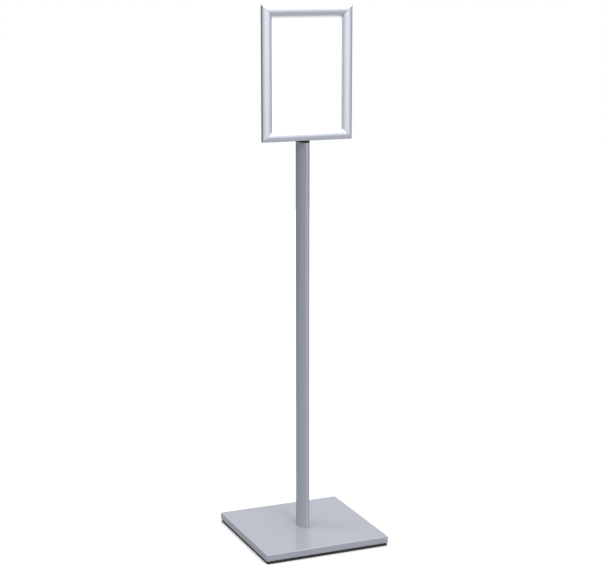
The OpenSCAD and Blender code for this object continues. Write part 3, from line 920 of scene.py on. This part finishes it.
sheets = {
    "backPanel": {"node": "back_panel", "edge": 0.2, "corner": 2.0,
                  "material": styrene, "slot": "panel_plastic"},
    "posterSheet": {"node": "poster_sheet", "edge": 0.04, "corner": 0.3, "trim": 0.08,
                    "material": posterCard, "slot": "poster"},
    "coverSheet": {"node": "cover_sheet", "edge": 0.08, "corner": 2.5,
                   "material": film, "slot": "clear_cover"},
}


def sheetSlab(look):
    # a thin sheet that stands in the frame: a round-cornered outline with soft edges
    low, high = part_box(look["node"])
    ring = roundedBox(high.x / mm, (high.z - low.z) / mm / 2, look["corner"], cornerSteps=6,
                      sideSteps=16)
    thick = (high.y - low.y) / mm - look.get("trim", 0.0)
    rows = slab(ring, 0.0, thick, look["edge"], edgeSteps=2)
    return capped(np.stack([rows[..., 0], high.y / mm - rows[..., 2],
                            rows[..., 1] + frameMid], -1))


for pieceName, look in sheets.items():
    newPiece(pieceName, sheetSlab(look), look["material"], look["slot"], [look["node"]],
             angle=15)
print("sheets and fittings built")


shelf = frameLow
bracket = {"thick": 3.0, "width": 100.0, "height": 34.0, "gussetX": 8.2, "gussetT": 2.6,
           "gussetBack": 8.0, "gussetLow": 5.0, "gussetTop": 6.0, "gussetShort": 4.0,
           "bite": 0.2, "sink": 0.1, "corner": 5.0, "cutHalf": 0.495, "cutClear": 0.02,
           "rampCuts": [0.2, 1.0, 1.5, 2.5, 0.2]}


def plateAlong(outline, axis, fromAt, toAt):
    # a flat outline given a thickness along X, Y or Z
    place = "XYZ".index(axis)
    return capped([np.insert(outline, place, at, axis=1) for at in (fromAt, toAt)])


def headBracket():
    # a foot on the post, an upright plate behind the frame, and two gussets between them
    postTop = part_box("post")[1].z / mm
    front, back = backPlane, backPlane + bracket["thick"]
    # the foot is the post's outline cut across at the frame's back
    oval = ovalOutline()
    cut = [[side * bracket["cutHalf"], front + bracket["cutClear"]] for side in (-1, 1)]
    footOutline = np.concatenate([oval[oval[:, 1] > front + bracket["bite"]], cut])
    w, h, c = bracket["width"] / 2, bracket["height"], bracket["corner"]
    upright = np.concatenate([[[-w, 0], [w, 0]], arc((w - c, h - c), c, 0, 90, 8),
                              arc((c - w, h - c), c, 90, 180, 8)])
    inner, top = back - bracket["bite"], h - bracket["gussetShort"]
    ramp = softened([[inner, 0], [bracket["gussetBack"], 0],
                     [bracket["gussetBack"], bracket["gussetLow"]],
                     [back + bracket["gussetTop"], top], [inner, top]],
                    bracket["rampCuts"], 4)
    parts = [plateAlong(footOutline, "Z", postTop, shelf),
             plateAlong(upright + [0, shelf], "Y", front, back)]
    for x in (-bracket["gussetX"], bracket["gussetX"]):
        parts.append(plateAlong(ramp + [0, shelf - bracket["sink"]], "X",
                                x - bracket["gussetT"] / 2, x + bracket["gussetT"] / 2))
    return several(parts)


weld = {"radius": 1.3, "around": 12, "steps": 6, "least": 0.9, "swell": 0.14, "endRadius": 0.2,
        "tip": 0.1, "upFrom": 2.0, "upShort": 6.0, "upRipples": 16, "backFrom": 2.0,
        "backShort": 1.0, "backRipples": 14}


def weldBead(start, end, ripples):
    # a rippled rod with round ends: r = radius * taper * (least + swell |sin|) on its length
    start, end = np.asarray(start, float), np.asarray(end, float)
    around = np.linspace(0, 2 * math.pi, weld["around"], endpoint=False)
    t = np.linspace(0, 1, ripples * weld["steps"] + 1)
    least = weld["endRadius"] ** 2
    taper = np.sqrt(np.clip(np.minimum(t, 1 - t) * ripples, 0, 1) * (1 - least) + least)
    swell = weld["swell"] * np.abs(np.sin(math.pi * ripples * t))
    radius = weld["radius"] * taper * (weld["least"] + swell)
    way = (end - start) / np.linalg.norm(end - start)
    side = np.cross(way, [0.0, 1.0, 0.0] if way[2] else [0.0, 0.0, 1.0])
    side /= np.linalg.norm(side)
    over = np.cross(way, side)
    line = start + t[:, None] * (end - start)
    spokes = np.cos(around)[:, None] * side + np.sin(around)[:, None] * over
    rings = line[:, None] + radius[:, None, None] * spokes
    return poled(rings, start - way * weld["tip"], end + way * weld["tip"])


def weldBeads():
    # one bead up each gusset's foot on the plate, and one back along it on the post's cap
    back, parts = backPlane + bracket["thick"], []
    top, rear = shelf + bracket["height"] - weld["upShort"], bracket["gussetBack"]
    for x in np.array([-1, 1]) * (bracket["gussetX"] + bracket["gussetT"] / 2):
        parts += [weldBead((x, back, shelf + weld["upFrom"]), (x, back, top), weld["upRipples"]),
                  weldBead((x, back + weld["backFrom"], shelf),
                           (x, rear - weld["backShort"], shelf), weld["backRipples"])]
    return several(parts)


newPiece("headBracket", headBracket(), blackPaint, "black_steel", ["head_bracket"],
         bevel=0.35, angle=40)
newPiece("bracketWelds", weldBeads(), blackPaint, "black_steel", angle=70)


headScrew = {"shank": 3.0, "head": 5.6, "headHeight": 3.0, "apothem": 2.0, "recess": 1.8,
             "proud": 0.12, "coneIn": 0.15, "rimIn": 0.1, "topIn": 0.3, "mouth": 1.3,
             "mouthDepth": 0.25, "drill": 0.3, "drillTip": 0.4}
frameScrew = {"shank": 1.5, "head": 2.9, "headHeight": 1.8, "apothem": 1.05, "recess": 1.2,
              "places": (-40, -15, 15, 40)}


def headScrews():
    # countersunk: the profile widens straight from the shank to the head's rim
    low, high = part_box("head_screws")
    length = (high.z - low.z) / mm
    s = headScrew
    r, head, apothem, rim = s["shank"], s["head"], s["apothem"], s["rimIn"]
    top = length + s["proud"]
    floor = top - s["recess"]
    profile = [(r * screwEnd["narrow"], 0), (r, screwEnd["taper"]),
               (r, length - s["headHeight"]), (head - s["coneIn"], length - rim),
               (head - rim, top - rim), (head - s["topIn"], top), (apothem * s["mouth"], top),
               (apothem, top - s["mouthDepth"]), (apothem, floor),
               (s["drill"], floor - s["drill"])]
    shape = poled(turned(profile, hexRings=[7, 8]), (0, 0, 0), (0, 0, floor - s["drillTip"]))
    return copiesAt(shape, [(0, y, low.z / mm) for y in (-portY, portY)])


def frameScrews():
    low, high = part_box("frame_screws")
    verts, faces = capScrew(frameScrew, (high.y - low.y) / mm - frameScrew["headHeight"])
    z = (low.z + high.z) / 2 / mm
    return copiesAt((facing(verts, "+Y"), faces),
                    [(x, low.y / mm, z) for x in frameScrew["places"]])


newPiece("headScrews", headScrews(), zincPlate, "zinc_steel", ["head_screws"], angle=40)
newPiece("frameScrews", frameScrews(), zincPlate, "zinc_steel", ["frame_screws"], angle=40)
print("head of the post built")


studio = {
    "floorHalf": 5.0, "floorCorner": 0.5, "floorSeen": 0.68, "bounceAhead": 0.28,
    "bounceBehind": 0.04, "bounceFrom": -4.5, "bounceTo": -0.8,
    "heading": 14.0, "back": 0.06, "front": 1.2, "spread": 5.0, "skyBehind": 0.85,
    "skyAhead": 1.75, "skyFrom": 0.04, "skyTo": 0.5, "tint": (0.955, 0.965, 1.0)}


def headingDot(tree, vector):
    # how far a direction or a place lies ahead of the sheet, on the studio's heading
    n = tree.nodes.new("ShaderNodeVectorMath")
    n.operation = "DOT_PRODUCT"
    heading = math.radians(studio["heading"])
    n.inputs[1].default_value = (math.sin(heading), -math.cos(heading), 0)
    tree.links.new(vector, n.inputs[0])
    return n.outputs["Value"]


def smoothRanged(tree, *values):
    out = ranged(tree, *values)
    out.node.interpolation_type = "SMOOTHSTEP"
    return out


def cameraRay(tree):
    return tree.nodes.new("ShaderNodeLightPath").outputs["Is Camera Ray"]


def paleFloor():
    # the camera sees a pale floor; what it throws back on the stand is a little darker,
    # and fades out behind it
    half = studio["floorHalf"]
    ring = roundedBox(half, half, studio["floorCorner"], cornerSteps=6, sideSteps=2)
    mesh = bpy.data.meshes.new("floor")
    mesh.from_pydata(atHeight(ring, 0.0).tolist(), [], [list(range(len(ring)))])
    floor = newObject("floor", mesh)
    m, tree, skin, place = newMaterial("paleFloor", 0.0, 0.8, Specular_IOR_Level=0.1)
    tone, speckle = studio["floorSeen"], 0.01
    plug(tree, mixed(tree, noise(tree, place, 40.0, 3.0), (tone - speckle,) * 3,
                     (tone + speckle,) * 3), skin.inputs["Base Color"])
    fade = smoothRanged(tree, headingDot(tree, place), studio["bounceBehind"],
                        studio["bounceAhead"], studio["bounceFrom"], studio["bounceTo"])
    bounce = addNode(tree, "ShaderNodeBsdfDiffuse",
                     Color=mixed(tree, fade, (0.0,) * 3, (1.0,) * 3))
    eitherShader(tree, cameraRay(tree), bounce, skin, skin.outputs[0].links[0].to_node)
    mesh.materials.append(m)


def softWorld():
    # light by direction d, with f pointing ahead of the sheet and up = d.z:
    # lobe = (1 + d.f) / 2, light = back + front * lobe^spread
    # + smoothstep(up) * (skyBehind + (skyAhead - skyBehind) * lobe). The camera sees white.
    world = bpy.data.worlds.new("studio")
    bpy.context.scene.world = world
    world.use_nodes = True
    tree = world.node_tree
    tree.nodes.clear()
    out = tree.nodes.new("ShaderNodeOutputWorld")
    way = tree.nodes.new("ShaderNodeTexCoord").outputs["Generated"]
    lobe = scaled(tree, headingDot(tree, way), 0.5, 0.5)
    level = scaled(tree, mathNode(tree, "POWER", lobe, studio["spread"]), studio["front"],
                   studio["back"])
    rise = smoothRanged(tree, upward(tree, way), 0.0, 1.0, studio["skyFrom"], studio["skyTo"])
    sky = scaled(tree, lobe, studio["skyAhead"] - studio["skyBehind"], studio["skyBehind"])
    total = mathNode(tree, "ADD", level, mathNode(tree, "MULTIPLY", rise, sky))
    soft = addNode(tree, "ShaderNodeBackground", Color=studio["tint"] + (1.0,),
                   Strength=total)
    plain = addNode(tree, "ShaderNodeBackground", Color=(1.0, 1.0, 1.0, 1.0))
    eitherShader(tree, cameraRay(tree), soft, plain, out)


softLights = {
    "key": {"from": (0.155, -1.0, 1.35), "strength": 1.3, "softness": 14.0},
    "fill": {"from": (-1.0, 0.6, 1.2), "strength": 1.15, "softness": 35.0},
}


def softLight(name, look):
    data = bpy.data.lights.new(name, "SUN")
    data.energy = look["strength"]
    data.angle = math.radians(look["softness"])
    newObject(name, data).rotation_euler = Vector(look["from"]).to_track_quat("Z", "Y").to_euler()


cameraSet = {"at": (-1.472, -3.4748, 1.4375), "heading": 23.01, "downTilt": 11.67,
             "lens": 91.31, "sensor": 36.0}


def studioCamera():
    data = bpy.data.cameras.new("camera")
    data.lens, data.sensor_width = cameraSet["lens"], cameraSet["sensor"]
    camera = newObject("camera", data)
    camera.location = cameraSet["at"]
    camera.rotation_euler = (math.radians(90 - cameraSet["downTilt"]), 0,
                             math.radians(-cameraSet["heading"]))
    bpy.context.scene.camera = camera


paleFloor()
softWorld()
for lightName, look in softLights.items():
    softLight(lightName, look)
studioCamera()
bpy.context.scene.view_settings.view_transform = "Standard"
print("studio built")
